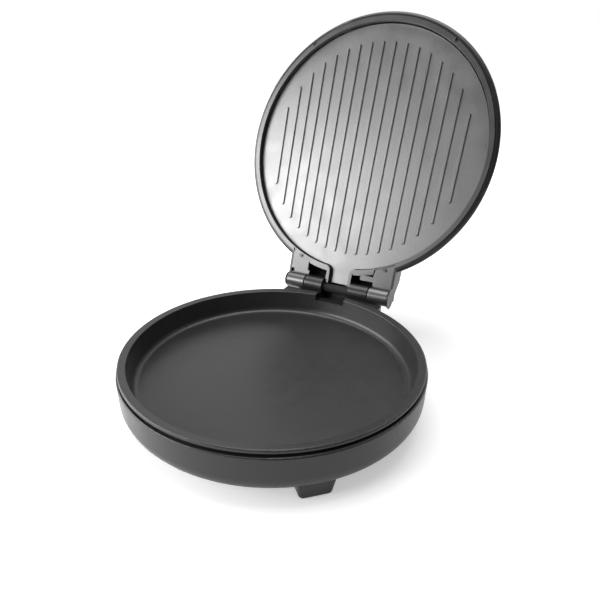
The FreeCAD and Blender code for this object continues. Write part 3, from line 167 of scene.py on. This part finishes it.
def lens_plastic(name, colour):
    """Clear tinted plastic, partly transmissive, with a fine noise bump on its face."""
    g = Graph(name)
    deep = tuple(part * 0.55 for part in colour)
    g.link(g.mix(g.noise(300.0, 2.0), deep, colour), g.shader.inputs["Base Color"])
    g.set(Roughness=0.12, Transmission_Weight=0.45, IOR=1.49, Coat_Weight=0.4)
    g.link(g.bump(g.noise(900.0, 1.0), 0.1, 0.0001), g.shader.inputs["Normal"])
    return g.material


def make_materials():
    return {
        "shell_plastic": plastic("shell_plastic", (0.010, 0.010, 0.0105), (0.015, 0.0148, 0.0148), 0.30, 2200.0, 0.12),
        "frame_plastic": plastic("frame_plastic", (0.014, 0.0125, 0.0115), (0.02, 0.018, 0.017), 0.34, 2000.0, 0.2, 1.0, 1.6),
        "cover_plastic": plastic("cover_plastic", (0.012, 0.012, 0.012), (0.02, 0.02, 0.02), 0.5, 1500.0, 0.3),
        # The feet's colour is set darker than the shell as painted shade, for the shadow under the housing where the
        # feet stand.
        "foot_plastic": plastic("foot_plastic", (0.004, 0.004, 0.0045), (0.007, 0.007, 0.0075), 0.34, 2000.0, 0.15),
        "nonstick_lower": coated("nonstick_lower", (0.012, 0.012, 0.0125), (0.05, 0.05, 0.052), 0.34),
        # The lid plate's coating is set lighter than the pan's coating as painted sheen, for the reflection of the
        # left lamps across the lid plate.
        "nonstick_upper": coated("nonstick_upper", (0.04, 0.04, 0.041), (0.12, 0.12, 0.122), 0.36, 1.0, 1.8),
        "element_tube": metal("element_tube", (0.30, 0.26, 0.22), (0.16, 0.13, 0.11), 0.5),
        "plated_steel": metal("plated_steel", (0.62, 0.62, 0.60), (0.48, 0.48, 0.47), 0.32),
        "screw_steel": metal("screw_steel", (0.55, 0.55, 0.55), (0.40, 0.40, 0.40), 0.3),
        "screw_dark": metal("screw_dark", (0.09, 0.09, 0.09), (0.05, 0.05, 0.05), 0.38),
        "shield_sheet": metal("shield_sheet", (0.78, 0.78, 0.79), (0.66, 0.66, 0.67), 0.28, (1.0, 12.0, 1.0)),
        "thermostat_case": plastic("thermostat_case", (0.38, 0.30, 0.2), (0.46, 0.38, 0.27), 0.5, 900.0, 0.3),
        "fuse_case": metal("fuse_case", (0.7, 0.66, 0.58), (0.58, 0.54, 0.47), 0.35),
        "ceramic": plastic("ceramic", (0.72, 0.70, 0.64), (0.8, 0.79, 0.74), 0.55, 800.0, 0.3),
        "pad_rubber": rubber("pad_rubber", (0.018, 0.018, 0.018)),
        "pin_steel": metal("pin_steel", (0.62, 0.62, 0.63), (0.5, 0.5, 0.51), 0.22, (0.2, 6.0, 6.0)),
        "sleeve_rubber": rubber("sleeve_rubber", (0.016, 0.016, 0.016)),
        "grommet_rubber": rubber("grommet_rubber", (0.014, 0.014, 0.014)),
        "lens_red": lens_plastic("lens_red", (0.55, 0.02, 0.015)),
        "lens_green": lens_plastic("lens_green", (0.02, 0.4, 0.06)),
    }


def dress_nodes(materials):
    for name, node in NODES.items():
        material = materials[SLOTS[name]]
        node.data.materials.clear()
        node.data.materials.append(material)


# Stage

def light_path_any(nodes, links, names):
    """One where a ray is of any of the named kinds."""
    path = nodes.new("ShaderNodeLightPath")
    result = path.outputs[names[0]]
    for name in names[1:]:
        either = nodes.new("ShaderNodeMath")
        either.operation = "MAXIMUM"
        links.new(result, either.inputs[0])
        links.new(path.outputs[name], either.inputs[1])
        result = either.outputs[0]
    return result


def map_range(nodes, links, value, low, high, out_low, out_high):
    node = nodes.new("ShaderNodeMapRange")
    links.new(value, node.inputs["Value"])
    for name, number in zip(
        ("From Min", "From Max", "To Min", "To Max"), (low, high, out_low, out_high)
    ):
        node.inputs[name].default_value = number
    return node.outputs["Result"]


def product(g, first, second):
    node = g.nodes.new("ShaderNodeMath")
    node.operation = "MULTIPLY"
    g.link(first, node.inputs[0])
    g.link(second, node.inputs[1])
    return node.outputs[0]


def background(world_strength):
    """White behind the object for the camera and in reflections, a plain level as light."""
    world = bpy.data.worlds.new("studio")
    bpy.context.scene.world = world
    world.use_nodes = True
    nodes, links = world.node_tree.nodes, world.node_tree.links
    shade = nodes["Background"]
    shade.inputs["Color"].default_value = (1.0, 1.0, 1.0, 1.0)
    place = nodes.new("ShaderNodeTexCoord").outputs["Generated"]
    side = nodes.new("ShaderNodeVectorMath")
    side.operation = "DOT_PRODUCT"
    links.new(place, side.inputs[0])
    side.inputs[1].default_value = (-0.62, 0.72, 0.3)
    mirrored = map_range(nodes, links, side.outputs["Value"], -0.35, 0.45, 0.10, 1.0)
    glossy = light_path_any(nodes, links, ("Is Glossy Ray",))
    lit = nodes.new("ShaderNodeMix")
    links.new(glossy, lit.inputs["Factor"])
    lit.inputs[2].default_value = world_strength
    links.new(mirrored, lit.inputs[3])
    seen = light_path_any(nodes, links, ("Is Camera Ray", "Is Transmission Ray"))
    strength = nodes.new("ShaderNodeMath")
    strength.operation = "MAXIMUM"
    links.new(lit.outputs[0], strength.inputs[0])
    links.new(seen, strength.inputs[1])
    links.new(strength.outputs[0], shade.inputs["Strength"])


def floor():
    """White sheet that keeps the object's shadow and turns plain white away from it."""
    mesh = bpy.data.meshes.new("floor")
    reach = 6.0
    corners = [(-reach, -reach, 0), (reach, -reach, 0), (reach, reach, 0), (-reach, reach, 0)]
    mesh.from_pydata(corners, [], [(0, 1, 2, 3)])
    plane = bpy.data.objects.new("floor", mesh)
    bpy.context.scene.collection.objects.link(plane)
    g = Graph("floor")
    g.set(Base_Color=(0.8, 0.8, 0.8, 1.0), Roughness=0.9, Specular_IOR_Level=0.1)
    g.set(Emission_Color=(1.0, 1.0, 1.0, 1.0))
    distance = g.nodes.new("ShaderNodeVectorMath")
    distance.operation = "LENGTH"
    g.link(g.place, distance.inputs[0])
    glow = map_range(g.nodes, g.links, distance.outputs["Value"], 0.22, 0.75, 0.42, 1.0)
    split = g.nodes.new("ShaderNodeSeparateXYZ")
    g.link(g.place, split.inputs[0])
    mirrored = map_range(g.nodes, g.links, split.outputs["X"], -0.12, 0.25, 1.0, 0.25)
    seen = light_path_any(g.nodes, g.links, ("Is Camera Ray", "Is Transmission Ray"))
    glossy = light_path_any(g.nodes, g.links, ("Is Glossy Ray",))
    share = product(g, mirrored, glossy)
    either = g.nodes.new("ShaderNodeMath")
    either.operation = "MAXIMUM"
    g.link(share, either.inputs[0])
    g.link(seen, either.inputs[1])
    g.link(product(g, glow, either.outputs[0]), g.shader.inputs["Emission Strength"])
    plane.data.materials.append(g.material)


def lamp(name, place, target, width, height, watts, colour=(1.0, 1.0, 1.0)):
    data = bpy.data.lights.new(name, "AREA")
    data.shape = "RECTANGLE"
    data.size, data.size_y = width, height
    data.energy = watts
    data.color = colour
    light = bpy.data.objects.new(name, data)
    aim = (Vector(target) - Vector(place)).to_track_quat("-Z", "Y")
    light.matrix_world = Matrix.Translation(place) @ aim.to_matrix().to_4x4()
    bpy.context.scene.collection.objects.link(light)


def make_lights():
    lamp("key_left", (-1.0, -1.05, 0.62), (0.0, 0.2, 0.20), 1.15, 0.75, 23.0)
    lamp("side_left", (-1.8, -0.35, 0.75), (0.0, 0.15, 0.15), 0.8, 1.0, 16.0)
    lamp("top", (-0.1, 0.25, 2.1), (0.0, 0.1, 0.0), 1.6, 1.6, 30.0)


make_camera()
dress_nodes(make_materials())
background(0.3)
floor()
make_lights()
bpy.context.scene.view_settings.view_transform = "Standard"
